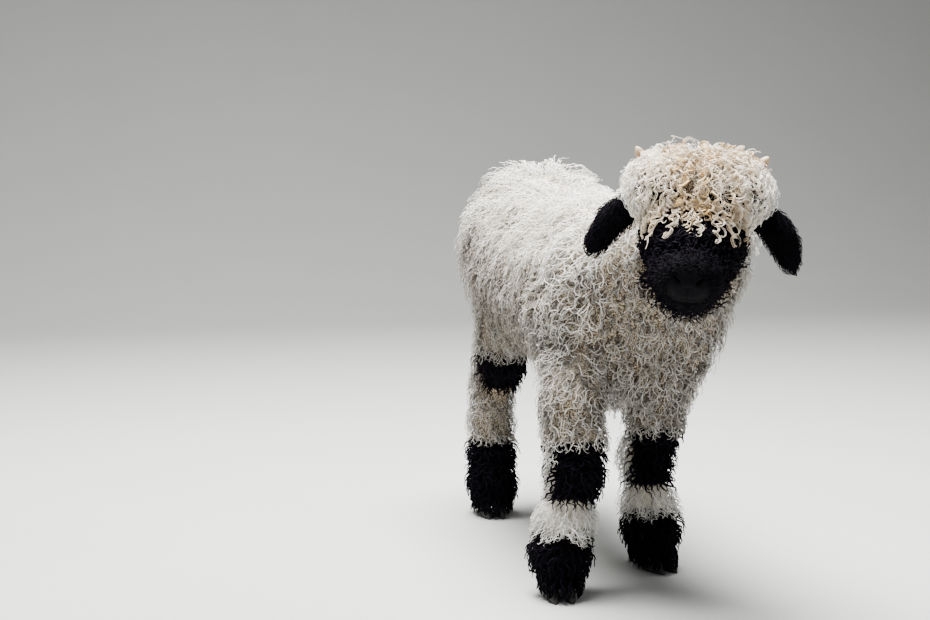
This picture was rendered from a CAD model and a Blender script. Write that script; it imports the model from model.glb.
"""A Valais Blacknose lamb, dressed over its solid frame: one skin, a fleece of curled locks, a mop of
ringlets between the horns, short black curls on face, ears, knees, hocks and feet, eyes, horns and
hooves, on a pale studio floor."""

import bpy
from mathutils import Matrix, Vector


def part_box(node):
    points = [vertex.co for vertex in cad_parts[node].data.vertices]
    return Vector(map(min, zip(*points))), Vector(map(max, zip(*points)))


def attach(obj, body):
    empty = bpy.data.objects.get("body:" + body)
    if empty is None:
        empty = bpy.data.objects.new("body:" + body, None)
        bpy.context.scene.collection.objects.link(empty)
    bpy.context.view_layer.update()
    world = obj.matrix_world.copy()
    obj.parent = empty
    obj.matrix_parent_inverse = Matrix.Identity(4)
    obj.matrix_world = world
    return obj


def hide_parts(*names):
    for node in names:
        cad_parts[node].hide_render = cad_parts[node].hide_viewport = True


bl_info = {
    "name": "Valais Blacknose Lamb",
    "version": (1, 0, 0),
    "blender": (4, 5, 0),
    "location": "View3D > Sidebar > Lamb",
    "description": "Builds the skin, coat, eyes, horns and hooves of a standing lamb",
    "category": "Add Mesh",
}

import math

import bmesh
import bpy
import numpy as np
from bpy.props import FloatProperty, FloatVectorProperty, PointerProperty
from mathutils import Matrix, Vector
from mathutils.bvhtree import BVHTree

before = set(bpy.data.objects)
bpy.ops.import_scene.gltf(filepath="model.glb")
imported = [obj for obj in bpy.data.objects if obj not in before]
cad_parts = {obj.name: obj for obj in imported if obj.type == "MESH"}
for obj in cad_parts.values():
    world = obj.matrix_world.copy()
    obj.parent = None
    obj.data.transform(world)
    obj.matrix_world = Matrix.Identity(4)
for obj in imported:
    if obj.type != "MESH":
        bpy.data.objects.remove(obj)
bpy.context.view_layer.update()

MM = 0.001
UP = Vector((0.0, 0.0, 1.0))

# The head's own frame has its origin at the poll: side, forward down the nose, up out of the brow.
POLL = Vector((0.032, -0.298, 0.585))
HEAD_TURN = 24.2  # degrees, towards the lamb's right
HEAD_DIP = 32.5  # degrees below level
HEAD_ROLL = 4.5  # degrees, the lamb's left side down
EYE_PLACE = Vector((0.0500, 0.076, -0.016))
EYE_RADIUS = (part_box("eye_left")[1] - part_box("eye_left")[0]).z / 2

# The skull over its curls: distance from the poll, top, bottom and half width.
HEAD_SECTIONS = (
    (-0.030, -0.030, -0.060, 0.020),
    (-0.018, -0.006, -0.082, 0.044),
    (0.010, 0.012, -0.100, 0.060),
    (0.040, 0.019, -0.112, 0.068),
    (0.075, 0.020, -0.116, 0.070),
    (0.105, 0.015, -0.112, 0.064),
    (0.132, 0.010, -0.106, 0.055),
    (0.160, 0.007, -0.098, 0.048),
    (0.183, 0.004, -0.082, 0.042),
    (0.198, -0.006, -0.062, 0.034),
    (0.208, -0.018, -0.042, 0.018),
)
CURLS_ON_CHEEK = 0.011  # how deep the curls are that the skull's sections count in
CURLS_ON_NOSE = 0.0015
MOUTH_LEVEL = -0.052  # height of the line of the lips in the head's frame
MOUTH_CORNER = 0.138  # how far forward the corners of the mouth are
NOSTRIL_PLACE = Vector((0.0135, 0.1990, -0.017))
NOSTRIL_SIZES = Vector((0.0080, 0.0100, 0.0023))
NOSTRIL_SLANT = 38  # degrees
LID_SIZES = Vector((0.0148, 0.0172, 0.0152))
SOCKET_OUT = 0.024
SOCKET_SIZES = Vector((0.019, 0.022, 0.016))
SLIT_SIZES = Vector((0.020, 0.0135, 0.0068))
MOP_EDGE = 0.511  # height that the ringlets of the brow hang down to
MOP_CENTRE = Vector((0.0, 0.035, 0.006))
MOP_SIZES = Vector((0.086, 0.055, 0.031))

EAR_ROOT = Vector((0.040, 0.010, -0.028))
EAR_BEND = Vector((0.102, 0.026, -0.022))
EAR_TIP = Vector((0.132, 0.062, -0.090))
EAR_HALF_WIDTH = 0.0122
EAR_THICKNESS = 0.0042
EAR_CUP = 0.007
EAR_REACH = 0.023  # skin nearer than this to an ear's middle line belongs to the ear

HORN_BASE = Vector((0.060, 0.004, -0.004))
HORN_TIP = Vector((0.085, -0.008, 0.034))
HORN_RADIUS = 0.0125

LEGS = ("foreleg_left", "foreleg_right", "hindleg_left", "hindleg_right")
BLACK_LEG_PARTS = ("knee", "hock", "foot")
FLESH = sorted(
    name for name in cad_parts
    if not any(word in name for word in ("claw", "eye", "horn"))
)

VOXEL_BODY = 0.006
VOXEL_HEAD = 0.0015
BODY_INSET = 0.012  # from the lumpy solids' mean surface down to the skin
LEG_INSET = 0.006
COAT_PATCH = 0.003  # size of a tuft's patch on the unwrap
FOOT_BOTTOM = 0.008  # where the flesh of a foot ends, above the floor
MARK_RAISED = 0.010  # the roots change colour this far above the solids, as the hair hangs down
OVERHANG = 0.012  # how far hair of one colour hangs over the next
BACK_OF_KNEE = (-0.80, 0.60)  # the side of each knee that is white
WHITE_STRIP = (0.63, 0.80)  # where that side begins and is all white, as cosines
NARROW_STRIP = (0.72, 0.86)  # the same on the left knee
EAR_SIDE = 0.052  # the ears lie further out than this in the head's frame
MOP_SKIN = 1.08  # the pad under the forelock ends here, as a share of its sizes
LOW_LAYER, HIGH_LAYER = 0.45, 1.05  # shares of the coat's depth between which the tufts lie
CLUMP = 0.030  # about how wide a clump of locks is that rises or sinks together
ROOT_SUNK = 0.0015  # how deep a tuft is rooted in the skin
LONGEST_SPINE = 1.6  # a tuft's spine is at most this many times its length

FLOOR_HALF = 40.0
FLOOR_TOP = 9.0
SWEEP_START = 3.2  # where the floor begins to rise behind the lamb
SWEEP_RADIUS = 1.8
SWEEP_STEPS = 24
LAMPS = (  # name, place, size and power
    ("softbox_over", (-0.2, 0.3, 2.8), 1.7, 700.0),
    ("softbox_front", (-1.9, -2.4, 1.5), 1.8, 12.0),
    ("softbox_side", (2.4, -0.6, 1.5), 1.4, 12.0),
)
LAMPS_AIM = Vector((0.0, 0.0, 0.35))
SKY_STRENGTH = 0.30
CAMERA_PLACE = (-0.789, -2.179, 0.62)
CAMERA_LENS = 60.0
CAMERA_SENSOR = 36.0
CAMERA_TURN = math.radians(15.0)
CAMERA_DIP = math.atan(160 / 1550)  # from the horizon's height over the middle of the photograph


def linear(code):
    """A colour for the shaders from a six-figure sRGB hex value."""
    made = []
    for i in (0, 2, 4):
        value = int(code[i:i + 2], 16) / 255
        made.append(value / 12.92 if value <= 0.04045 else ((value + 0.055) / 1.055) ** 2.4)
    return tuple(made)


class LambBuild(bpy.types.PropertyGroup):
    """Sizes of the skin's own features."""

    mouth_depth: FloatProperty(
        name="Mouth depth", description="How deep the line between the lips is cut",
        default=0.0026, min=0.0, max=0.006, unit="LENGTH")
    philtrum: FloatProperty(
        name="Philtrum depth", description="How deep the groove from the nose to the lip is",
        default=0.0018, min=0.0, max=0.005, unit="LENGTH")
    hoof_ring: FloatProperty(
        name="Hoof ring height", description="Height of the growth rings round a claw",
        default=0.0004, min=0.0, max=0.002, unit="LENGTH")


class LambFleece(bpy.types.PropertyGroup):
    """Sizes of the long white wool."""

    length: FloatProperty(
        name="Lock length", description="Length of a lock of the fleece along its lie",
        default=0.034, min=0.02, max=0.12, unit="LENGTH")
    curl: FloatProperty(
        name="Curl radius", description="Radius of the waves and rings in a lock",
        default=0.0034, min=0.001, max=0.01, unit="LENGTH")
    wave: FloatProperty(
        name="Wave length", description="Distance along a lock from one wave to the next",
        default=0.0125, min=0.005, max=0.04, unit="LENGTH")
    half_width: FloatProperty(
        name="Lock half width", description="Half the thickness of a lock",
        default=0.00085, min=0.0004, max=0.004, unit="LENGTH")
    spacing: FloatProperty(
        name="Lock spacing", description="Least distance between the roots of two locks",
        default=0.00575, min=0.004, max=0.03, unit="LENGTH")
    depth: FloatProperty(
        name="Fleece depth", description="How far the locks' tips stand from the skin",
        default=0.021, min=0.005, max=0.05, unit="LENGTH")
    leg_length: FloatProperty(
        name="Leg lock length", description="Length of the locks on the legs",
        default=0.032, min=0.01, max=0.08, unit="LENGTH")
    ringlet_length: FloatProperty(
        name="Ringlet length", description="Length of the forelock's ringlets",
        default=0.035, min=0.02, max=0.1, unit="LENGTH")
    ringlet_curl: FloatProperty(
        name="Ringlet radius", description="Radius of the forelock's ringlets",
        default=0.0040, min=0.001, max=0.01, unit="LENGTH")


class LambHair(bpy.types.PropertyGroup):
    """Sizes of the short black hair."""

    face_length: FloatProperty(
        name="Face curl length", description="Length of the curls on the cheeks",
        default=0.017, min=0.004, max=0.04, unit="LENGTH")
    face_curl: FloatProperty(
        name="Face curl radius", description="Radius of the curls on the face",
        default=0.0024, min=0.0005, max=0.005, unit="LENGTH")
    leg_length: FloatProperty(
        name="Leg hair length", description="Length of the black tufts on knees, hocks and feet",
        default=0.020, min=0.005, max=0.06, unit="LENGTH")
    ear_length: FloatProperty(
        name="Ear hair length", description="Length of the tufts on the ears",
        default=0.011, min=0.003, max=0.03, unit="LENGTH")


class LambColours(bpy.types.PropertyGroup):
    """Colours of the coat, the bare parts and the studio."""

    wool_tip: FloatVectorProperty(
        name="Wool tips", description="Cream white where the locks catch the light",
        subtype="COLOR", default=linear("F8F4EB"), min=0, max=1)
    wool_root: FloatVectorProperty(
        name="Wool roots", description="Warm tan deep in the fleece",
        subtype="COLOR", default=linear("7B6A52"), min=0, max=1)
    wool_gold: FloatVectorProperty(
        name="Golden wool", description="Sun-bleached gold in the middle of the forelock",
        subtype="COLOR", default=linear("CBA86C"), min=0, max=1)
    black: FloatVectorProperty(
        name="Black hair", description="Near black of face, ears, knees, hocks and feet",
        subtype="COLOR", default=linear("0B090D"), min=0, max=1)
    nose: FloatVectorProperty(
        name="Nose", description="Charcoal of the bare muzzle",
        subtype="COLOR", default=linear("070608"), min=0, max=1)
    horn_base: FloatVectorProperty(
        name="Horn base", description="Pinkish tan where the horn bud grows",
        subtype="COLOR", default=linear("80583A"), min=0, max=1)
    horn_tip: FloatVectorProperty(
        name="Horn tip", description="Pale tip of the horn bud",
        subtype="COLOR", default=linear("D6C29C"), min=0, max=1)
    hoof: FloatVectorProperty(
        name="Hoof", description="Dark grey brown of the claws",
        subtype="COLOR", default=linear("151213"), min=0, max=1)
    iris: FloatVectorProperty(
        name="Iris", description="Dark amber of the iris",
        subtype="COLOR", default=linear("4E3018"), min=0, max=1)
    floor: FloatVectorProperty(
        name="Floor", description="Pale grey of the studio floor",
        subtype="COLOR", default=linear("A8A8A5"), min=0, max=1)


# Head frame

def head_matrix():
    """Turns (side, forward, up) of the head's own frame into the figure's frame."""
    turn, dip = math.radians(HEAD_TURN), math.radians(HEAD_DIP)
    ahead = Vector((-math.sin(turn), -math.cos(turn), 0.0))
    nose = ahead * math.cos(dip) - UP * math.sin(dip)
    brow = ahead * math.sin(dip) + UP * math.cos(dip)
    basis = Matrix((brow.cross(nose), nose, brow)).transposed()
    roll = Matrix.Rotation(math.radians(-HEAD_ROLL), 3, ahead)
    return Matrix.Translation(POLL) @ (roll @ basis).to_4x4()


HEAD = head_matrix()
HEAD_AXES = np.array(HEAD.to_3x3())


def in_head(points):
    """Points of the figure, an array, as (side, forward, up) from the poll."""
    return (points - np.array(POLL)) @ HEAD_AXES


def check_head():
    """The head's frame here has to be the one that the solids were made in."""
    low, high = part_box("eye_left")
    if ((low + high) / 2 - HEAD @ EYE_PLACE).length > 0.001:
        raise ValueError("the head's frame doesn't fit the solids")


# Mesh helpers

def between(rows, share):
    """A smooth curve through rows of numbers, read at a share of its length from 0 to 1."""
    place = share * (len(rows) - 1)
    i = min(int(place), len(rows) - 2)
    t = place - i
    before, start = rows[max(i - 1, 0)], rows[i]
    end, after = rows[i + 1], rows[min(i + 2, len(rows) - 1)]
    made = []
    for a, b, c, d in zip(before, start, end, after):
        made.append(b + 0.5 * t * (c - a + t * (2 * a - 5 * b + 4 * c - d + t * (3 * (b - c) + d - a))))
    return made


def object_from(name, bm):
    mesh = bpy.data.meshes.new(name)
    bmesh.ops.recalc_face_normals(bm, faces=bm.faces)
    bm.to_mesh(mesh)
    bm.free()
    thing = bpy.data.objects.new(name, mesh)
    bpy.context.scene.collection.objects.link(thing)
    return thing


def loft(name, rings):
    """A closed skin over rings of points, with a cap at each end."""
    bm = bmesh.new()
    made = [[bm.verts.new(point) for point in ring] for ring in rings]
    for near, far in zip(made, made[1:]):
        for i in range(len(near)):
            j = (i + 1) % len(near)
            bm.faces.new((near[i], near[j], far[j], far[i]))
    bm.faces.new(made[0])
    bm.faces.new(made[-1])
    return object_from(name, bm)


def ellipsoid(name, place, sizes, segments=48, rings=32):
    """A ball of three radii, set and turned by a matrix."""
    bm = bmesh.new()
    shape = place @ Matrix.Diagonal((*sizes, 1.0))
    bmesh.ops.create_uvsphere(bm, u_segments=segments, v_segments=rings, radius=1.0, matrix=shape)
    return object_from(name, bm)


def apply_modifiers(thing):
    """Leaves the object with the mesh that its modifiers give, and no modifiers."""
    seen = thing.evaluated_get(bpy.context.evaluated_depsgraph_get())
    made = bpy.data.meshes.new_from_object(seen)
    old = thing.data
    thing.modifiers.clear()
    thing.data = made
    bpy.data.meshes.remove(old)
    return thing


def combine(target, others, operation):
    """One Boolean with many closed objects, which are used up."""
    group = bpy.data.collections.new("cutters")
    bpy.context.scene.collection.children.link(group)
    for other in others:
        group.objects.link(other)
    step = target.modifiers.new("join", "BOOLEAN")
    step.operand_type = "COLLECTION"
    step.collection = group
    step.operation = operation
    step.solver = "MANIFOLD"
    apply_modifiers(target)
    for other in others:
        bpy.data.objects.remove(other)
    bpy.data.collections.remove(group)
    return target


def remesh(thing, voxel):
    step = thing.modifiers.new("voxels", "REMESH")
    step.mode = "VOXEL"
    step.voxel_size = voxel
    step.use_smooth_shade = True
    return apply_modifiers(thing)


def read(items, key, width=1, kind=float):
    """One value, or a row of them, for each item, as an array."""
    made = np.empty(len(items) * width, kind)
    items.foreach_get(key, made)
    return made.reshape(-1, width) if width > 1 else made


def co_of(mesh):
    return read(mesh.vertices, "co", 3)


def normals_of(mesh):
    return read(mesh.vertex_normals, "vector", 3)


def set_co(mesh, co):
    mesh.vertices.foreach_set("co", np.ascontiguousarray(co, np.float32).ravel())
    mesh.update()


def relax(mesh, rounds, amount, weight=None):
    """Moves each vertex towards the middle of its neighbours."""
    a, b = read(mesh.edges, "vertices", 2, np.int64).T
    co = co_of(mesh)
    count = np.bincount(np.concatenate((a, b)), minlength=len(co))[:, None]
    share = amount if weight is None else amount * weight[:, None]
    for _ in range(rounds):
        total = np.empty_like(co)
        for axis in range(3):
            total[:, axis] = np.bincount(a, co[b, axis], len(co)) + np.bincount(b, co[a, axis], len(co))
        co += (total / np.maximum(count, 1) - co) * share
    set_co(mesh, co)


def unit(vectors):
    return vectors / np.maximum(np.linalg.norm(vectors, axis=-1, keepdims=True), 1e-9)


def ramp(values, start, end):
    """0 before start, 1 after end and smooth between."""
    t = np.clip((values - start) / (end - start), 0.0, 1.0)
    return t * t * (3 - 2 * t)


def add_value(mesh, name, values):
    """Keeps a number for each vertex, under a name that the materials read."""
    made = mesh.attributes.new(name, "FLOAT", "POINT")
    made.data.foreach_set("value", np.ascontiguousarray(values, np.float32))


def mirrored(side, place):
    """A place of the left side of the head, or for side -1 its twin on the right."""
    return Vector((side * place[0], place[1], place[2]))


def shift(side, place):
    """The matrix that sets a piece of the head at a place, or at its twin."""
    return HEAD @ Matrix.Translation(mirrored(side, place))


def dress(thing, look, slot, *nodes):
    """Gives a piece its material, and puts it in the place of the solids that it stands for."""
    thing.data.shade_smooth()
    thing.data.materials.clear()
    thing.data.materials.append(look)
    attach(thing, "root")
    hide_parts(*nodes)


# Skin

def part_of(name):
    return name.split("_")[-1]


def owners(*parts):
    """Which of the solids of flesh are one of these parts, on whichever leg."""
    return np.array([part_of(name) in parts for name in FLESH])


def starting(*starts):
    """Which of the solids of flesh have a name that starts so."""
    return np.array([name.startswith(starts) for name in FLESH])


def nodes_joined(names):
    """One mesh of copies of the named solids."""
    bm = bmesh.new()
    for name in names:
        bm.from_mesh(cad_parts[name].data)
    return object_from("flesh", bm)


class Whose:
    """Tells which of the solids a point is nearest to."""

    def __init__(self, names):
        self.names = list(names)
        points, faces, self.owner = [], [], []
        for i, name in enumerate(self.names):
            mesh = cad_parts[name].data
            start = len(points)
            points += [tuple(v.co) for v in mesh.vertices]
            for face in mesh.polygons:
                faces.append([start + v for v in face.vertices])
                self.owner.append(i)
        self.tree = BVHTree.FromPolygons(points, faces)

    def of(self, points):
        return np.array([self.owner[self.tree.find_nearest(point)[2]] for point in points.tolist()])


def body_skin():
    """The body, neck, legs and tail inside their coat: the solids fused, smoothed and drawn in."""
    thing = remesh(nodes_joined(FLESH), VOXEL_BODY)
    owner = Whose(FLESH).of(co_of(thing.data))
    soft = (0.35 + 0.65 * owners("torso", "neck", "head", "tail") + 0.45 * owners("forearm",
                                                                                  "thigh"))[owner]
    inset = LEG_INSET + (BODY_INSET - LEG_INSET) * owners("torso", "neck", "head")[owner]
    inset -= 0.001 * owners("tail")[owner] + 0.003 * owners("foot")[owner]
    # The head made here stays inside the fine one.
    inset += 0.012 * (owners("head") | starting("ear"))[owner]
    relax(thing.data, 18, 0.5, soft)
    rounds = 8
    for _ in range(rounds):
        set_co(thing.data, co_of(thing.data) - normals_of(thing.data) * (inset / rounds)[:, None])
        relax(thing.data, 3, 0.5, soft)
    co = co_of(thing.data)
    for leg in LEGS:
        foot = owner == FLESH.index(leg + "_foot")
        low = co[foot, 2].min()
        co[foot, 2] -= (low - FOOT_BOTTOM) * ramp(co[foot, 2], 0.060, low)
    set_co(thing.data, co)
    remesh(thing, VOXEL_BODY * 0.8)
    relax(thing.data, 4, 0.5)
    return thing


def ear_middle(share):
    """A point of an ear's middle line, from its root to its tip."""
    return EAR_ROOT * (1 - share) ** 2 + EAR_BEND * 2 * share * (1 - share) + EAR_TIP * share ** 2


def ear_leaf(side, steps=26, columns=10):
    """A drooping ear: a long leaf, its broad side forward, hollowed on the side to the body."""
    flip = Matrix.Diagonal((side, 1, 1))
    dip = math.radians(HEAD_DIP)
    level = Vector((0.0, math.cos(dip), math.sin(dip)))
    bm = bmesh.new()
    grid = []
    for i in range(steps + 1):
        share = i / steps
        middle = ear_middle(share)
        along = (EAR_BEND - EAR_ROOT) * (1 - share) + (EAR_TIP - EAR_BEND) * share
        across = level.cross(along).normalized()
        face = along.cross(across).normalized()
        width = EAR_HALF_WIDTH * (0.62 + 0.55 * math.sin(math.pi * min(share, 0.55) / 1.1))
        width *= math.sqrt(max(0.012, 1.0 - (max(0.0, share - 0.45) / 0.55) ** 2.4))
        row = []
        for j in range(columns + 1):
            v = 2 * j / columns - 1
            hollow = EAR_CUP * (1 - v * v) * (0.4 + 0.6 * math.sin(math.pi * share))
            row.append(bm.verts.new(HEAD @ (flip @ (middle + across * (width * v) + face * hollow))))
        grid.append(row)
    for near, far in zip(grid, grid[1:]):
        for i in range(columns):
            bm.faces.new((near[i], near[i + 1], far[i + 1], far[i]))
    ear = object_from("ear", bm)
    shell = ear.modifiers.new("thickness", "SOLIDIFY")
    shell.thickness = EAR_THICKNESS
    shell.offset = 0.0
    return apply_modifiers(ear)


def skull(sides=64, count=60):
    """The head under its curls, as one loft along the nose."""
    rings = []
    for i in range(count):
        ahead, top, bottom, wide = between(HEAD_SECTIONS, i / (count - 1))
        front = min(max((ahead - 0.130) / 0.055, 0.0), 1.0)
        inset = CURLS_ON_CHEEK + (CURLS_ON_NOSE - CURLS_ON_CHEEK) * front
        above = 0.006 + (CURLS_ON_NOSE - 0.006) * front
        under = 0.012 + (0.004 - 0.012) * front
        top, bottom, wide = top - above, bottom + under, wide - inset
        level = bottom + 0.55 * (top - bottom)
        ring = []
        for k in range(sides):
            angle = 2 * math.pi * k / sides
            c, s = math.cos(angle), math.sin(angle)
            x = math.copysign(abs(c) ** 0.92, c) * wide
            x *= 1.0 - 0.16 * max(0.0, -s) ** 1.5
            z = math.copysign(abs(s) ** 0.92, s) * (top - level if s > 0 else level - bottom)
            ring.append(HEAD @ Vector((x, ahead, level + z)))
        rings.append(ring)
    return loft("skull", rings)


# Swellings and hollows of the face, in the head's frame: place, radius, and how far the skin moves out.
FACE_FORMS = (
    ((0.046, 0.062, -0.062), 0.026, 0.0030),
    ((0.036, 0.112, -0.052), 0.022, -0.0035),
    ((0.000, 0.120, 0.010), 0.030, 0.0025),
    ((0.040, 0.084, 0.004), 0.016, 0.0030),
    ((0.026, 0.176, -0.034), 0.018, 0.0030),
    ((0.018, 0.196, -0.010), 0.010, 0.0020),
    ((0.000, 0.186, -0.072), 0.016, 0.0028),
    ((0.000, 0.204, -0.028), 0.008, -0.0012),
    ((0.030, 0.150, 0.000), 0.016, -0.0020),
)


def sculpt_face(mesh, settings):
    """Moves the fine skin of the head out and in to give cheeks, nose, lips and philtrum."""
    co, normals = co_of(mesh), normals_of(mesh)
    here = in_head(co)
    moved = np.zeros(len(co))
    for place, radius, height in FACE_FORMS:
        for side in ((1, -1) if place[0] else (1,)):
            away = here - np.array((side * place[0], place[1], place[2]))
            moved += height * np.exp(-(away ** 2).sum(1) / radius ** 2)
    lip = MOUTH_LEVEL + 0.010 * ramp(here[:, 1], 0.205, MOUTH_CORNER) * 0.6
    front = ramp(here[:, 1], MOUTH_CORNER, MOUTH_CORNER + 0.018)
    moved -= settings.mouth_depth * front * np.exp(-((here[:, 2] - lip) / 0.0016) ** 2)
    moved += 0.0012 * front * np.exp(-((here[:, 2] - lip - 0.005) / 0.003) ** 2)
    moved += 0.0012 * front * np.exp(-((here[:, 2] - lip + 0.005) / 0.003) ** 2)
    middle = ramp(here[:, 2], lip - 0.002, lip + 0.002) * ramp(here[:, 2], -0.014, -0.022)
    nose = ramp(here[:, 1], 0.184, 0.194)
    moved -= settings.philtrum * nose * middle * np.exp(-(here[:, 0] / 0.0013) ** 2)
    slope = (np.abs(here[:, 0]) - 0.001) * 0.9 - 0.027
    wing = ramp(np.abs(here[:, 0]), 0.0125, 0.0085)
    moved -= 0.0012 * nose * wing * np.exp(-((here[:, 2] - slope) / 0.0013) ** 2)
    set_co(mesh, co + normals * moved[:, None])


def head_skin(settings):
    """Skull, ears, lids and the pad under the forelock in one fine skin."""
    thing = skull()
    sockets, lids, cuts = [], [ear_leaf(1), ear_leaf(-1)], []
    for side in (1, -1):
        place = shift(side, EYE_PLACE)
        outer = shift(side, (EYE_PLACE.x + SOCKET_OUT, EYE_PLACE.y, EYE_PLACE.z))
        sockets.append(ellipsoid("socket", outer, SOCKET_SIZES))
        lids.append(ellipsoid("lid", place, LID_SIZES))
        cuts.append(ellipsoid("ball", place, (EYE_RADIUS + 0.0006,) * 3))
        cuts.append(ellipsoid("slit", outer, SLIT_SIZES))
        slant = Matrix.Rotation(math.radians(-NOSTRIL_SLANT * side), 4, "Y")
        cuts.append(ellipsoid("nostril", shift(side, NOSTRIL_PLACE) @ slant, NOSTRIL_SIZES))
    lids.append(ellipsoid("mop", shift(1, MOP_CENTRE), MOP_SIZES))
    combine(thing, sockets, "DIFFERENCE")
    combine(thing, lids, "UNION")
    combine(thing, cuts, "DIFFERENCE")
    remesh(thing, VOXEL_HEAD)
    relax(thing.data, 3, 0.5)
    sculpt_face(thing.data, settings)
    relax(thing.data, 1, 0.3)
    return thing


def mark(mesh):
    """Gives each vertex its marking: black or white hair, and how bare it is on the nose."""
    co = co_of(mesh)
    whose = Whose(FLESH)
    owner = whose.of(co)
    lower = whose.of(co - np.array((0.0, 0.0, MARK_RAISED)))
    on_leg = starting(*LEGS)
    owner = np.where(on_leg[owner] & on_leg[lower], lower, owner)
    black = owners(*BLACK_LEG_PARTS)[owner].astype(float)
    clean = ramp(normals_of(mesh)[:, 2], 0.0, 0.8) * 0.7
    for i, name in enumerate(FLESH):
        mine, part = owner == i, part_of(name)
        low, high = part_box(name)
        if part in ("knee", "hock"):
            away = unit((co - np.array((low + high) / 2))[:, :2])
            if name == "hindleg_left_hock":
                away = away * np.array((-1.0, 1.0))
            strip = NARROW_STRIP if name == "foreleg_left_knee" else WHITE_STRIP
            behind = ramp(away @ np.array(BACK_OF_KNEE), *strip)
            black = np.where(mine, black * (1 - behind), black)
        if part == "cannon" and name.startswith("foreleg"):
            # The white band is narrower than the cannon, and narrowest on the left leg.
            raised = co[:, 2] - MARK_RAISED
            edge = ramp(raised, low.z + 0.013, low.z + 0.009)
            if name.startswith("foreleg_left"):
                edge += ramp(raised, high.z - 0.010, high.z - 0.006)
            black = np.where(mine, np.maximum(black, edge), black)
        if part in ("knee", "cannon") and name.startswith("foreleg"):
            clean = np.where(mine, 1.0, clean)
    here = in_head(co)
    on_head = head_region(here)
    # Under the front of the mop the skin is black, and shows between the ringlets that hang there.
    edge = here[:, 1] - 0.014 * np.exp(-(here[:, 0] / 0.030) ** 2)
    face = on_head * np.maximum(ramp(inside_mop(here), 1.05, 1.13), ramp(edge, 0.054, 0.062))
    add_value(mesh, "black", np.where(on_head > 0.5, face, black))
    add_value(mesh, "clean", clean)
    add_value(mesh, "bare", np.where(on_head > 0.5, nose_pad(here), 0.0))
    mesh.attributes.new("owner", "INT", "POINT").data.foreach_set("value", owner.astype(np.int32))


def inside_mop(here):
    """How far out points of the head's frame lie, as shares of the pad under the forelock."""
    return np.linalg.norm((here - np.array(MOP_CENTRE)) / np.array(MOP_SIZES), axis=1)


def ear_distance(here):
    """How far points of the head's frame lie from the middle line of the nearer ear, past its root."""
    best = np.full(len(here), 1.0)
    for share in np.linspace(0.16, 1.0, 18):
        for side in (1, -1):
            away = here * np.array((side, 1.0, 1.0)) - np.array(ear_middle(share))
            best = np.minimum(best, np.linalg.norm(away, axis=1))
    return best


def on_ear(here):
    return (np.abs(here[:, 0]) > EAR_SIDE) & (ear_distance(here) < EAR_REACH)


def head_region(here):
    """1 on the face and ears, 0 on the neck behind them, for points in the head's frame."""
    start = 0.006 + 0.058 * ramp(here[:, 2], -0.020, -0.075)
    face = (here[:, 1] > start) & (np.abs(here[:, 0]) < 0.070) & (here[:, 1] < 0.22) & (here[:, 2] > -0.135)
    return (on_ear(here) | face).astype(float)


def eye_distance(here):
    """How far points of the head's frame lie from the nearer eyeball's surface."""
    folded = np.stack((np.abs(here[:, 0]), here[:, 1], here[:, 2]), 1)
    return np.linalg.norm(folded - np.array(EYE_PLACE), axis=1) - EYE_RADIUS


def nose_pad(here):
    """How bare the skin is: an oval on the front of the muzzle, round nostrils and upper lip."""
    oval = np.hypot(here[:, 0] / 0.027, (here[:, 2] + 0.030) / 0.025)
    return ramp(oval, 1.10, 0.75) * ramp(here[:, 1], 0.178, 0.190)


def unwrap(thing):
    """Unwraps the skin's own shape, for the coat's patches too."""
    thing.data.uv_layers.new(name="OFBake")
    bpy.ops.object.select_all(action="DESELECT")
    thing.select_set(True)
    bpy.context.view_layer.objects.active = thing
    bpy.ops.object.mode_set(mode="EDIT")
    bpy.ops.mesh.select_all(action="SELECT")
    bpy.ops.uv.smart_project(angle_limit=math.radians(66), island_margin=0.002)
    bpy.ops.object.mode_set(mode="OBJECT")


# Coat

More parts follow.
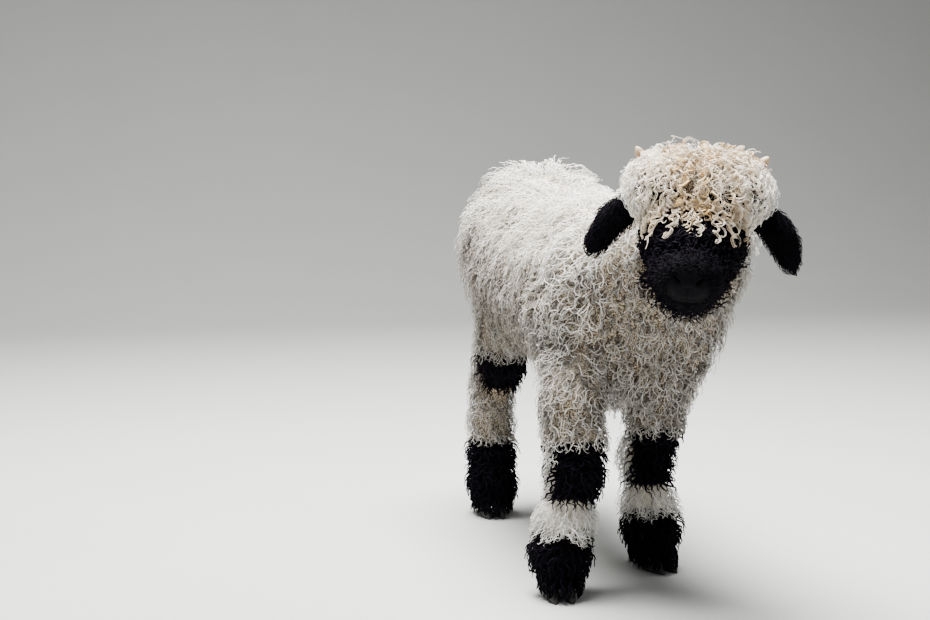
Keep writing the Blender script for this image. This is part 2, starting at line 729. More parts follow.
class Hide:
    """The skin as arrays: where roots may stand, which way is out, and the skin's unwrap there."""

    def __init__(self, thing):
        mesh = thing.data
        mesh.calc_loop_triangles()
        self.co, self.normals = co_of(mesh), normals_of(mesh)
        self.tris = read(mesh.loop_triangles, "vertices", 3, np.int32)
        self.uv = read(mesh.uv_layers["OFBake"].uv, "vector",
                       2)[read(mesh.loop_triangles, "loops", 3, np.int32)]
        corners = self.co[self.tris]
        across = np.cross(corners[:, 1] - corners[:, 0], corners[:, 2] - corners[:, 0])
        self.area = np.linalg.norm(across, axis=1) / 2
        self.black, self.bare, self.clean = [
            read(mesh.attributes[name].data, "value", 1, np.float32) for name in ("black", "bare", "clean")
        ]
        self.owner = read(mesh.attributes["owner"].data, "value", 1, np.int32)
        self.tree = BVHTree.FromPolygons(self.co.tolist(), self.tris.tolist())

    def roots(self, allowed, spacing, seed):
        """Roots set about evenly over the faces whose vertices are all allowed: random points, each
        kept only where no other lies nearer than the spacing."""
        rng = np.random.default_rng(seed)
        ok = allowed[self.tris].all(1)
        area = np.where(ok, self.area, 0.0)
        tries = int(6.0 * area.sum() / spacing ** 2) + 10
        chosen = rng.choice(len(area), tries, p=area / area.sum())
        a, b = np.sqrt(rng.random(tries)), rng.random(tries)
        share = np.stack((1 - a, a * (1 - b), a * b), 1)[:, :, None]
        points = (self.co[self.tris[chosen]] * share).sum(1)
        cells = np.floor(points / spacing).astype(int).tolist()
        grid, kept = {}, []
        limit = spacing ** 2
        near = [(i, j, k) for i in (-1, 0, 1) for j in (-1, 0, 1) for k in (-1, 0, 1)]
        for n, (cell, p) in enumerate(zip(cells, points.tolist())):
            others = (q for i, j, k in near for q in grid.get((cell[0] + i, cell[1] + j, cell[2] + k), ()))
            if all((p[0] - q[0]) ** 2 + (p[1] - q[1]) ** 2 + (p[2] - q[2]) ** 2 >= limit for q in others):
                grid.setdefault(tuple(cell), []).append(p)
                kept.append(n)
        kept = np.array(kept)
        face, share = chosen[kept], share[kept]
        normals = unit((self.normals[self.tris[face]] * share).sum(1))
        uv = (self.uv[face] * share).sum(1)
        return points[kept], normals, uv, self.tris[face, 0]

    def nearest(self, points):
        found = [self.tree.find_nearest(point) for point in points.tolist()]
        place = np.array([f[0][:] for f in found])
        normals = unit(self.normals[self.tris[[f[2] for f in found]]].mean(1))
        return place, normals


def level_with(normals, wish):
    """The part of each wish that lies in the skin."""
    return unit(wish - normals * (wish * normals).sum(1, keepdims=True))


def turned(normals, way, angles):
    """Turns each way about its normal."""
    return way * np.cos(angles)[:, None] + np.cross(normals, way) * np.sin(angles)[:, None]


def lie(hide, points, normals, flow, length, heights, angles, droop=0.0):
    """Spines of tufts: each leaves its root and follows the skin the way the coat lies, at its
    heights above it, and sinks a little under its own weight."""
    steps = heights.shape[1] - 1
    spine = [points + normals * heights[:, :1]]
    ups = [normals]
    here, out = points, normals
    for k in range(1, steps + 1):
        way = turned(out, level_with(out, flow(here, out)), angles)
        here, out = hide.nearest(here + way * (length / steps)[:, None])
        sag = np.zeros_like(here)
        sag[:, 2] = -droop * (k / steps) ** 2
        spine.append(here + out * heights[:, k:k + 1] + sag)
        ups.append(out)
    return np.stack(spine, 1), np.stack(ups, 1)


def curve_weights(knots, shares):
    """Catmull-Rom weights that read a curve through its knots at the given shares of its length."""
    made = np.zeros((len(shares), knots))
    for row, share in enumerate(shares):
        place = min(max(share, 0.0), 1.0) * (knots - 1)
        i = min(int(place), knots - 2)
        t = place - i
        for knot, weight in (
            (i - 1, 0.5 * (-t + 2 * t * t - t ** 3)), (i, 0.5 * (2 - 5 * t * t + 3 * t ** 3)),
            (i + 1, 0.5 * (t + 4 * t * t - 3 * t ** 3)), (i + 2, 0.5 * (t ** 3 - t * t)),
        ):
            made[row, min(max(knot, 0), knots - 1)] += weight
    return made


def curled(spine, ups, length, radius, wave, phase, hand, segments, tilt, slow, flat, late):
    """Centre lines that wind round their spines in waves and end in rings."""
    s = np.linspace(0.0, 1.0, segments + 1)
    along = 1.0 - (1.0 - s) ** slow
    weights = curve_weights(spine.shape[1], along)
    line = np.einsum("sk,nkx->nsx", weights, spine)
    up = np.einsum("sk,nkx->nsx", weights, ups)
    way = unit(np.gradient(line, axis=1) + 1e-9)
    side = unit(np.cross(way, up))
    up = np.cross(side, way)
    lean = tilt[0] + (tilt[1] - tilt[0]) * s[None, :, None] ** late
    first = up * np.cos(lean) * flat + way * np.sin(lean)
    angle = phase[:, None] + hand[:, None] * 2 * np.pi * (length / wave)[:, None] * s[None, :]
    size = radius[:, None] * np.clip(s / 0.22, 0.0, 1.0)[None, :] ** 0.8
    return line + first * (np.cos(angle) * size)[:, :, None] + side * (np.sin(angle) * size)[:, :, None]


def strands(name, lines, widths, sides, values, root_uv, material):
    """A joined mesh of tapered tubes with pointed tips, one round each centre line."""
    count, points = lines.shape[:2]
    rings = points - 1
    way = unit(np.gradient(lines, axis=1))
    across = np.empty_like(way)
    first = np.cross(way[:, 0], np.array((0.31, 0.52, 0.80)))
    across[:, 0] = unit(first)
    for k in range(1, points):
        moved = across[:, k - 1] - way[:, k] * (across[:, k - 1] * way[:, k]).sum(1, keepdims=True)
        across[:, k] = unit(moved)
    other = np.cross(way, across)
    angles = 2 * np.pi * np.arange(sides) / sides
    tube = (across[:, :rings, None] * np.cos(angles)[None, None, :, None]
            + other[:, :rings, None] * np.sin(angles)[None, None, :, None])
    tube = lines[:, :rings, None] + tube * widths[:, :rings, None, None]
    per = rings * sides + 1
    co = np.concatenate((tube.reshape(count, rings * sides, 3), lines[:, -1:]), 1)
    k = np.arange(sides)
    turn = (k + 1) % sides
    base = np.arange(rings - 1)[:, None] * sides
    quads = np.stack((base + k, base + turn, base + sides + turn, base + sides + k), -1).reshape(-1)
    last = (rings - 1) * sides
    tips = np.stack((last + k, last + turn, np.full(sides, per - 1)), -1).reshape(-1)
    cap = k[::-1]
    one = np.concatenate((quads, tips, cap))
    sizes = np.concatenate((np.full((rings - 1) * sides, 4), np.full(sides, 3), [sides]))
    loops = (one[None, :] + np.arange(count)[:, None] * per).reshape(-1)
    starts = np.concatenate(([0], np.cumsum(np.tile(sizes, count))[:-1]))
    mesh = bpy.data.meshes.new(name)
    mesh.vertices.add(count * per)
    mesh.vertices.foreach_set("co", co.astype(np.float32).ravel())
    mesh.loops.add(len(loops))
    mesh.loops.foreach_set("vertex_index", loops.astype(np.int32))
    mesh.polygons.add(len(starts))
    mesh.polygons.foreach_set("loop_start", starts.astype(np.int32))
    mesh.update(calc_edges=True)
    mesh.shade_smooth()
    along = np.concatenate((np.repeat(np.arange(rings) / rings, sides), [1.0]))
    around = np.concatenate((np.tile(k / max(sides - 1, 1), rings), [0.5]))
    add_value(mesh, "along", np.tile(along, count))
    for key, value in values.items():
        add_value(mesh, key, np.repeat(value, per))
    patch = np.stack((np.tile(around - 0.5, count), np.tile(along - 0.5, count)), 1) * COAT_PATCH
    uv = np.repeat(root_uv, per, axis=0) + patch
    mesh.uv_layers.new(name="OFBake").uv.foreach_set("vector", uv[loops].astype(np.float32).ravel())
    mesh.materials.append(material)
    thing = bpy.data.objects.new(name, mesh)
    bpy.context.scene.collection.objects.link(thing)
    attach(thing, "root")
    return thing


def taper(segments, root, tip, rise=0.2):
    """The share of its full half width that a tuft has from root to tip."""
    s = np.linspace(0.0, 1.0, segments + 1)
    return (root + (1 - root) * np.clip(s / rise, 0, 1)) * (1 - (1 - tip) * s)


def hide_of_skin():
    return Hide(bpy.data.objects["skin"])


# Materials

def material(name, build):
    """A material by name, made once: build adds its nodes and gives the shader's inputs."""
    made = bpy.data.materials.get(name)
    if made is None:
        made = bpy.data.materials.new(name)
        made.use_nodes = True
        shader = made.node_tree.nodes["Principled BSDF"]
        for name, value in build(made.node_tree).items():
            if isinstance(value, bpy.types.NodeSocket):
                made.node_tree.links.new(value, shader.inputs[name])
            else:
                shader.inputs[name].default_value = value
    return made


def node(tree, kind, links=(), out=0, **settings):
    """Adds a node with its settings, links sockets or values to its inputs, and gives an output."""
    made = tree.nodes.new("ShaderNode" + kind)
    for key, value in settings.items():
        if hasattr(made, key):
            setattr(made, key, value)
        else:
            made.inputs[key.replace("_", " ")].default_value = value
    for place, source in links:
        if isinstance(source, bpy.types.NodeSocket):
            tree.links.new(source, made.inputs[place])
        else:
            made.inputs[place].default_value = source
    return made.outputs[out]


# Has a Mix node mix colours: its inputs are the share, 0, and the two colours, 6 and 7.
COLOURS = {"out": 2, "data_type": "RGBA"}


def wide(colour):
    return (*colour, 1.0)


def wool_material(colours):
    """Lamb's wool: fine crimped fibre that hangs together in curled locks and grows from greasy tan
    roots to clean cream tips. It scatters light softly, so it is matt with a pale sheen."""

    def build(tree):
        along, tone, gold, clean = [
            node(tree, "Attribute", out="Fac", attribute_name=name)
            for name in ("along", "tone", "gold", "clean")
        ]
        rise = node(tree, "MapRange", [(0, along)], interpolation_type="SMOOTHSTEP", From_Min=0.05,
                    From_Max=0.62)
        tip = node(tree, "Mix", [(0, gold), (6, wide(colours.wool_tip)), (7, wide(colours.wool_gold))],
                   **COLOURS)
        root = node(tree, "Mix", [(0, clean), (6, wide(colours.wool_root)), (7, tip)], **COLOURS)
        base = node(tree, "Mix", [(0, rise), (6, root), (7, tip)], **COLOURS)
        shade = node(tree, "MapRange", [(0, tone)], To_Min=0.18, To_Max=1.06)
        grey = node(tree, "CombineColor", [(0, shade), (1, shade), (2, shade)])
        base = node(tree, "Mix", [(0, 1.0), (6, base), (7, grey)], blend_type="MULTIPLY", **COLOURS)
        # Fibres are about 0.03 mm thick; the streaks are drawn near 0.8 mm so that they show.
        place = node(tree, "TexCoord", out="Object")
        streaks = node(tree, "TexNoise", [("Vector", place)], Scale=1 / (0.8 * MM), Detail=2.0)
        base = node(tree, "Mix", [(0, 0.25), (6, base), (7, streaks)], blend_type="SOFT_LIGHT", **COLOURS)
        bump = node(tree, "Bump", [("Height", streaks)], Strength=0.25, Distance=0.4 * MM)
        return {
            "Base Color": base,
            "Normal": bump,
            "Roughness": 0.82,
            "Specular IOR Level": 0.25,
            "Sheen Weight": 0.35,
            "Sheen Roughness": 0.5,
        }

    return material("lambs_wool_curled", build)


def hair_material(colours):
    """Black kemp hair: smooth, dark fibre in small springy curls. Each keeps a faint violet gleam
    from the sky on its upper side."""

    def build(tree):
        along, tone = [
            node(tree, "Attribute", out="Fac", attribute_name=name) for name in ("along", "tone")
        ]
        dark = wide(0.45 * c for c in colours.black)
        light = wide(c * gain for c, gain in zip(colours.black, (1.7, 1.5, 1.9)))
        base = node(tree, "Mix", [(0, along), (6, dark), (7, wide(colours.black))], **COLOURS)
        base = node(tree, "Mix", [(0, tone), (6, base), (7, light)], **COLOURS)
        place = node(tree, "TexCoord", out="Object")
        streaks = node(tree, "TexNoise", [("Vector", place)], Scale=1 / (0.7 * MM), Detail=2.0)
        bump = node(tree, "Bump", [("Height", streaks)], Strength=0.2, Distance=0.3 * MM)
        return {
            "Base Color": base,
            "Normal": bump,
            "Roughness": 0.7,
            "Specular IOR Level": 0.03,
            "Specular Tint": wide(linear("C9BEDC")),
        }

    return material("black_kemp_hair", build)


def skin_material(colours):
    """Skin under the coat: matted under-wool on the white parts, black down on the dark ones, and
    the naked, finely pebbled charcoal leather of the nose."""

    def build(tree):
        black, bare, clean = [
            node(tree, "Attribute", out="Fac", attribute_name=name) for name in ("black", "bare", "clean")
        ]
        place = node(tree, "TexCoord", out="Object")
        # Strands of under-wool are about 2 mm across: they are drawn as level lines of a soft noise.
        warp = node(tree, "TexNoise", [("Vector", place)], Scale=1 / (8 * MM), Detail=2.0)
        waves = node(tree, "Math", [(0, warp), (1, 40.0)], operation="MULTIPLY")
        lines = node(tree, "Math", [(0, waves), (1, 0.0)], operation="SINE")
        mat = node(tree, "MapRange", [(0, lines)], From_Min=-1.0)
        wool = node(tree, "ValToRGB", [(0, mat)])
        stops = wool.node.color_ramp.elements
        for stop, position, code in zip(stops, (0.10, 0.90), ("564838", "BFB098")):
            stop.position = position
            stop.color = wide(linear(code))
        share = node(tree, "Math", [(0, clean), (1, 0.6)], operation="MULTIPLY")
        wool = node(tree, "Mix", [(0, share), (6, wool), (7, wide(linear("E9E2D4")))], **COLOURS)
        down = wide(0.6 * c for c in colours.black)
        base = node(tree, "Mix", [(0, black), (6, wool), (7, down)], **COLOURS)
        pebbles = node(tree, "TexVoronoi", [("Vector", place)], Scale=1 / (1.1 * MM))
        cracks = wide(linear("0C0B0E"))
        leather = node(tree, "Mix", [(0, pebbles), (6, wide(colours.nose)), (7, cracks)], **COLOURS)
        base = node(tree, "Mix", [(0, bare), (6, base), (7, leather)], **COLOURS)
        height = node(tree, "Mix", [(0, bare), (2, mat), (3, pebbles)])
        depth = node(tree, "Math", [(0, bare), (1, -1.7 * MM), (2, 2.0 * MM)], operation="MULTIPLY_ADD")
        bump = node(tree, "Bump", [("Height", height), ("Distance", depth)], Strength=0.5)
        rough = node(tree, "MapRange", [(0, bare)], To_Min=0.9, To_Max=0.66)
        return {
            "Base Color": base,
            "Normal": bump,
            "Roughness": rough,
            "Specular IOR Level": 0.03,
        }

    return material("sheep_skin", build)


def horn_material(colours):
    """Horn bud: living keratin, ringed as it grows, pink with blood at the base and pale at the tip,
    polished a little by rubbing."""

    def build(tree):
        along = node(tree, "Attribute", out="Fac", attribute_name="along")
        base = node(tree, "Mix", [(0, along), (6, wide(colours.horn_base)), (7, wide(colours.horn_tip))],
                    **COLOURS)
        place = node(tree, "TexCoord", out="Object")
        grain = node(tree, "TexNoise", [("Vector", place)], Scale=1 / (2.5 * MM), Detail=4.0)
        base = node(tree, "Mix", [(0, 0.5), (6, base), (7, grain)], blend_type="SOFT_LIGHT", **COLOURS)
        bump = node(tree, "Bump", [("Height", grain)], Strength=0.4, Distance=0.6 * MM)
        return {
            "Base Color": base,
            "Normal": bump,
            "Roughness": 0.48,
            "Subsurface Weight": 0.06,
            "Subsurface Scale": 0.004,
        }

    return material("young_horn", build)


def hoof_material(colours):
    """Hoof horn: hard dark keratin grown in fine rings and scuffed dull by the ground."""

    def build(tree):
        place = node(tree, "TexCoord", out="Object")
        split = node(tree, "Mapping", [("Vector", place)], Scale=(0.3, 0.3, 1.0))
        rings = node(tree, "TexNoise", [("Vector", split)], Scale=1 / (2.0 * MM), Detail=3.0)
        base = node(tree, "Mix", [(0, rings), (6, wide(colours.hoof)), (7, wide(linear("241E1D")))],
                    **COLOURS)
        bump = node(tree, "Bump", [("Height", rings)], Strength=0.5, Distance=0.5 * MM)
        return {
            "Base Color": base,
            "Normal": bump,
            "Roughness": 0.58,
        }

    return material("hoof_horn", build)


def eye_material(colours):
    """A sheep's eye: dark amber iris with a level slot for a pupil, under a wet clear cornea that
    throws a sharp light."""

    def build(tree):
        place = node(tree, "TexCoord", out="Object")
        x, y = node(tree, "SeparateXYZ", [("Vector", place)]).node.outputs[:2]
        flat = node(tree, "CombineXYZ", [(0, x), (1, y), (2, 0.0)])
        away = node(tree, "VectorMath", [(0, flat)], out="Value", operation="LENGTH")
        rays = node(tree, "TexNoise", [("Vector", place)], Scale=1 / (0.9 * MM), Detail=3.0)
        dark = wide(0.5 * c for c in colours.iris)
        iris = node(tree, "Mix", [(0, rays), (6, dark), (7, wide(colours.iris))], **COLOURS)
        edge = node(tree, "MapRange", [(0, away)], From_Min=7.2 * MM, From_Max=8.4 * MM)
        base = node(tree, "Mix", [(0, edge), (6, iris), (7, wide(linear("2B1D14")))], **COLOURS)
        # The pupil is a slot with round ends, where the two squared shares make 1.
        sides = []
        for part, half in ((x, 3.8 * MM), (y, 1.5 * MM)):
            share = node(tree, "Math", [(0, part), (1, 1 / half)], operation="MULTIPLY")
            share = node(tree, "Math", [(0, share), (1, 0.0)], operation="ABSOLUTE")
            sides.append(node(tree, "Math", [(0, share), (1, 2.0)], operation="POWER"))
        slot = node(tree, "CombineXYZ", [(0, sides[0]), (1, sides[1])])
        slot = node(tree, "VectorMath", [(0, slot)], out="Value", operation="LENGTH")
        pupil = node(tree, "MapRange", [(0, slot)], From_Min=1.1, From_Max=0.9)
        base = node(tree, "Mix", [(0, pupil), (6, base), (7, wide(linear("050406")))], **COLOURS)
        return {
            "Base Color": base,
            "Roughness": 0.12,
            "IOR": 1.38,
            "Coat Weight": 1.0,
            "Coat Roughness": 0.03,
        }

    return material("wet_eye", build)


def floor_material(colours):
    """Studio floor: matt painted board, rolled, with a barely seen unevenness."""

    def build(tree):
        place = node(tree, "TexCoord", out="Object")
        clouds = node(tree, "TexNoise", [("Vector", place)], Scale=3.0, Detail=3.0)
        base = node(tree, "Mix", [(0, 0.06), (6, wide(colours.floor)), (7, clouds)],
                    blend_type="SOFT_LIGHT", **COLOURS)
        return {
            "Base Color": base,
            "Roughness": 0.85,
        }

    return material("painted_floor", build)


# Operators

class LAMB_OT_skin(bpy.types.Operator):
    """One skin for body, neck, head, ears, legs and tail"""

    bl_idname = "lamb.skin"
    bl_label = "Skin"

    def execute(self, context):
        scene = context.scene
        check_head()
        thing = body_skin()
        combine(thing, [head_skin(scene.lamb_build)], "UNION")
        thing.name = "skin"
        mark(thing.data)
        unwrap(thing)
        dress(thing, skin_material(scene.lamb_colours), "fleece", *FLESH)
        return {"FINISHED"}


def swirl(points, size, amount, seed):
    """A slow change in the lie of the coat from place to place, as angles."""
    rng = np.random.default_rng(seed)
    total = np.zeros(len(points))
    for _ in range(5):
        way = unit(rng.normal(size=3)) * rng.uniform(0.6, 1.5) / size
        total += np.sin(points @ way * 2 * np.pi + rng.uniform(0, 2 * np.pi))
    return total * amount / 2


class Coat:
    """Tufts of one kind on the skin: where they are rooted, and what they are grown from."""

    def __init__(self, hide, allowed, spacing, seed):
        self.hide, self.seed = hide, seed
        self.points, self.normals, self.uv, vertex = hide.roots(allowed, spacing, seed)
        self.owner, self.clean = hide.owner[vertex], hide.clean[vertex]
        self.count = len(self.points)
        self.rng = np.random.default_rng(seed + 1)
        self.layer = self.rng.uniform(LOW_LAYER, HIGH_LAYER, self.count)
        self.layer += swirl(self.points, CLUMP, 0.20, seed + 2)
        self.each = 1

    def above(self):
        """How high each tuft lies in the coat: 0 for the lowest layer, 1 for the highest."""
        return (self.layer - LOW_LAYER) / (HIGH_LAYER - LOW_LAYER)

    def vary(self, value, low, high):
        """A size for each tuft, between two shares of its usual value."""
        return value * self.rng.uniform(low, high, self.count)

    def hang(self, length):
        """Leg tufts' lengths, cut where they would hang too far over the part below."""
        bottom = np.array([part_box(name)[0].z for name in FLESH])[self.owner]
        room = np.maximum(self.points[:, 2] - bottom - MARK_RAISED, 0.0)
        return np.minimum(length, room + OVERHANG * self.rng.uniform(0.7, 1.3, self.count))

    def lay(self, flow, length, depth, shape, turn, swirls=0.0, droop=0.0, size=0.10):
        """Lays the spines along the skin. The shape is their height from root to tip, as shares of the
        coat's depth; each tuft has its own layer in it."""
        self.length = np.broadcast_to(length, self.count)
        depth = np.broadcast_to(depth, self.count)
        heights = (depth * self.layer)[:, None] * np.array(shape)[None, :]
        heights[:, 0] = -ROOT_SUNK
        angles = self.rng.normal(0.0, turn, self.count) + swirl(self.points, size, swirls, self.seed)
        self.spine, self.ups = lie(self.hide, self.points, self.normals, flow, self.length, heights,
                                   angles, droop)
        # A spine that leapt over a fold of the skin is drawn back to near its own length.
        reach = np.linalg.norm(np.diff(self.spine, axis=1), axis=2).sum(1)
        share = np.minimum(1.0, LONGEST_SPINE * self.length / reach)[:, None, None]
        self.spine = self.spine[:, :1] + (self.spine - self.spine[:, :1]) * share

    def skirt(self, leg, chosen, margin):
        """Lets the chosen tufts of a foot hang down all round its claws."""
        boxes = [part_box(leg + "_claw_" + side) for side in ("inner", "outer")]
        low = np.array([min(box[0][axis] for box in boxes) for axis in range(3)])
        high = np.array([max(box[1][axis] for box in boxes) for axis in range(3)])
        middle, half = (low + high)[:2] / 2, (high - low)[:2] / 2 + margin
        root = self.points[chosen]
        out = self.normals[chosen] * np.array((1.0, 1.0, 0.0))
        steps = self.spine.shape[1] - 1
        for k in range(1, steps + 1):
            share = k / steps
            place = root + out * (self.layer[chosen] * margin * 1.6)[:, None]
            place[:, 2] = root[:, 2] + (self.rng.uniform(0.003, 0.011, len(root)) - root[:, 2]) * share
            away = (place[:, :2] - middle) / half
            far = np.linalg.norm(away, axis=1)
            near = (far < 1) & (place[:, 2] < high[2] + 0.006)
            pushed = middle + away / np.maximum(far, 0.2)[:, None] * half
            place[:, :2] = np.where(near[:, None], pushed, place[:, :2])
            self.spine[chosen, k] = place

    def bundle(self, each, spread):
        """Splits each tuft into strands that wind side by side."""
        self.each = each
        rise = np.clip(np.linspace(0.0, 4.0, self.lines.shape[1]), 0, 1)
        shift = self.rng.normal(0.0, spread, (self.count * each, 1, 3))
        self.lines = np.repeat(self.lines, each, axis=0) + shift * rise[None, :, None]
        self.widths = np.repeat(self.widths, each, axis=0)
        self.uv = np.repeat(self.uv, each, axis=0)

    def curl(self, radius, wave, width, segments, tilt=(0.2, 1.2), slow=1.5, flat=0.8, tip=0.3, late=1.0,
             root=1.0):
        """Winds the tufts round their spines and gives them their thickness."""
        phase = self.rng.uniform(0, 2 * np.pi, self.count)
        hand = self.rng.choice((-1.0, 1.0), self.count)
        wave = np.broadcast_to(wave, self.count)
        radius = np.broadcast_to(radius, self.count)
        self.lines = curled(self.spine, self.ups, self.length, radius, wave, phase, hand, segments, tilt,
                            slow, flat, late)
        self.widths = np.broadcast_to(width, self.count)[:, None] * taper(segments, root, tip)[None, :]

    def tones(self, middle, spread):
        return np.clip(self.rng.normal(middle, spread, self.count), 0, 1)

    def make(self, names, order, values, material):
        """Joined meshes, one for each name, from the tufts in that order."""
        order = np.repeat(order, self.each)
        for name, part in zip(names, np.array_split(np.argsort(order), len(names))):
            chosen = {key: np.repeat(value, self.each)[part] for key, value in values.items()}
            made = strands(name, self.lines[part], self.widths[part], 3, chosen, self.uv[part], material)

    def make_black(self, names, order, context):
        """The same for black hair, most of it dark and a few tufts lighter."""
        values = {"tone": self.rng.random(self.count) ** 2}
        self.make(names, order, values, hair_material(context.scene.lamb_colours))


def near_horns(here):
    """1 at the horns and 0 away from them, for points in the head's frame."""
    folded = np.abs(here[:, 0])
    away = np.stack((folded - 0.072, here[:, 1], here[:, 2] - 0.014), 1)
    return np.exp(-(away ** 2).sum(1) / 0.020 ** 2)


def fleece_flow(points, normals):
    """The fleece falls down the sides and lies backward along the spine, hardly parted there."""
    wish = np.tile((0.0, 0.35, -1.0), (len(points), 1))
    wish[:, 0] += np.tanh(points[:, 0] / 0.03) * 0.22 * np.clip(normals[:, 2], 0, 1)
    return wish


def leg_flow(points, normals):
    """Leg hair hangs down and a little outward."""
    wish = np.tile((0.0, 0.06, -1.0), (len(points), 1))
    return wish + normals * np.array((0.25, 0.25, 0.0))


def forelock_flow(points, normals):
    """Ringlets spread from the crown: forward over the brow and out over the ears."""
    here = in_head(points)
    wish = np.stack((here[:, 0] * 0.8, np.abs(here[:, 1] + 0.030) + 0.03, np.full(len(here), -0.05)), 1)
    wish = wish @ HEAD_AXES.T
    wish[:, 2] -= 0.06
    return wish


def brow_flow(points, normals):
    """Ringlets of the brow hang straight down over it."""
    here = in_head(points)
    wish = np.stack((here[:, 0] * 0.35, np.full(len(here), 0.05), np.full(len(here), -0.05)),
                    1) @ HEAD_AXES.T
    wish[:, 2] -= 0.08
    return wish


def face_flow(points, normals):
    """Face hair lies back from the nose and out to the cheeks."""
    here = in_head(points)
    wish = np.stack((here[:, 0] * 6, np.full(len(here), -0.8), np.full(len(here), -0.25)), 1)
    return wish @ HEAD_AXES.T


def ear_flow(points, normals):
    """Ear hair lies out to the tips."""
    here = in_head(points)
    wish = np.stack((np.sign(here[:, 0]) * 0.35, np.full(len(here), 0.5), np.full(len(here), -0.8)), 1)
    return wish @ HEAD_AXES.T


class LAMB_OT_fleece(bpy.types.Operator):
    """The long curled wool of body, neck and tail"""

    bl_idname = "lamb.fleece"
    bl_label = "Fleece"

    def execute(self, context):
        s = context.scene.lamb_fleece
        hide = hide_of_skin()
        woolly = owners("torso", "neck", "tail", "head")[hide.owner]
        woolly &= (hide.black < 0.3) & (inside_mop(in_head(hide.co)) > 1.1)
        coat = Coat(hide, woolly, s.spacing, seed=11)
        top = np.clip(coat.normals[:, 2], 0, 1)
        above = coat.above()
        chest = ramp(coat.points[:, 1], -0.02, -0.16)
        jaw = ramp(in_head(coat.points)[:, 1], -0.040, 0.000) * ramp(coat.points[:, 1], -0.15, -0.22)
        length = coat.vary(s.length, 0.75, 1.2) * (1 - 0.5 * jaw)
        rump = ramp(coat.points[:, 1], 0.12, 0.25)
        depth = s.depth * (1 + (0.25 + 0.15 * rump) * top) * (1 - 0.4 * jaw)
        coat.lay(fleece_flow, length, depth, shape=(0.0, 0.50, 0.85, 1.0, 1.1), turn=0.45, swirls=0.60,
                 droop=0.004, size=0.03)
        open_curl = 0.75 + 0.70 * chest
        coat.curl(coat.vary(s.curl, 0.55, 1.35) * open_curl, coat.vary(s.wave, 0.75, 1.3) * open_curl,
                  coat.vary(s.half_width, 0.8, 1.2) * (1.4 - 0.6 * above) * (1 + 0.25 * chest),
                  segments=14, tilt=(0.3, 1.35), flat=0.7)
        flank = (1 - top) * (1 - chest)
        tone = 0.36 * top - 0.08 * flank + (0.34 + 0.30 * top + 0.16 * chest) * above
        gold = 0.10 * (1 - top) + 0.24 * flank
        values = {
            "tone": np.clip(coat.tones(0.0, 0.10) + tone, 0, 1),
            "gold": np.clip(coat.rng.normal(gold, 0.03), 0, 0.5),
            "clean": coat.clean,
        }
        names = ("fleece_neck", "fleece_breast", "fleece_shoulders", "fleece_barrel", "fleece_loins",
                 "fleece_rump")
        coat.make(names, coat.points[:, 1], values, wool_material(context.scene.lamb_colours))
        return {"FINISHED"}


class LAMB_OT_leg_wool(bpy.types.Operator):
    """The shorter wool of forearms, thighs and the white bands"""

    bl_idname = "lamb.leg_wool"
    bl_label = "Leg wool"

    def execute(self, context):
        s = context.scene.lamb_fleece
        hide = hide_of_skin()
        legs = starting(*LEGS)[hide.owner]
        wool = wool_material(context.scene.lamb_colours)
        banded = owners("cannon", "knee") & starting("foreleg")
        white = legs & (hide.black < 0.5)
        coat = Coat(hide, white & ~banded[hide.owner], s.spacing * 0.94, seed=21)
        above = coat.above()
        length = coat.hang(coat.vary(s.leg_length, 0.75, 1.2))
        coat.lay(leg_flow, length, depth=0.013, shape=(0.0, 0.55, 0.9, 1.0, 1.1), turn=0.40, swirls=0.45,
                 droop=0.002, size=0.03)
        fore = ramp(coat.points[:, 1], 0.05, -0.02)
        coat.curl(coat.vary(s.curl * 0.9, 0.5, 1.3) * (1 + 0.4 * fore),
                  coat.vary(s.wave * 0.95, 0.8, 1.3) * (1 + 0.3 * fore),
                  coat.vary(s.half_width, 0.8, 1.2) * (1.4 - 0.6 * above) * (1 + 0.2 * fore),
                  segments=13, tilt=(0.3, 1.35), flat=0.7)
        values = {
            "tone": np.clip(coat.tones(0.0, 0.10) + (0.34 + 0.12 * fore) * above, 0, 1),
            "gold": np.clip(coat.rng.normal(0.14, 0.03, coat.count), 0, 0.5),
            "clean": coat.clean,
        }
        coat.make(("foreleg_wool", "hindleg_wool"), coat.points[:, 1], values, wool)
        # The bands over the feet and the backs of the knees are finer, straighter and whiter.
        coat = Coat(hide, white & banded[hide.owner], s.spacing * 0.62, seed=26)
        above = coat.above()
        length = coat.hang(coat.vary(s.leg_length, 0.8, 1.1))
        coat.lay(leg_flow, length, depth=0.016, shape=(0.0, 0.55, 0.85, 1.05, 1.15), turn=0.22, swirls=0.40,
                 size=0.03)
        coat.curl(coat.vary(0.0026, 0.5, 1.3), coat.vary(0.0115, 0.8, 1.3),
                  coat.vary(s.half_width * 0.8, 0.8, 1.2), segments=12, tilt=(0.2, 1.5), flat=0.8, tip=0.4)
        values = {
            "tone": np.clip(coat.tones(0.32, 0.15) + 0.4 * above, 0, 1),
            "gold": np.zeros(coat.count),
            "clean": np.ones(coat.count),
        }
        coat.make(("band_wool",), coat.points[:, 1], values, wool)
        return {"FINISHED"}


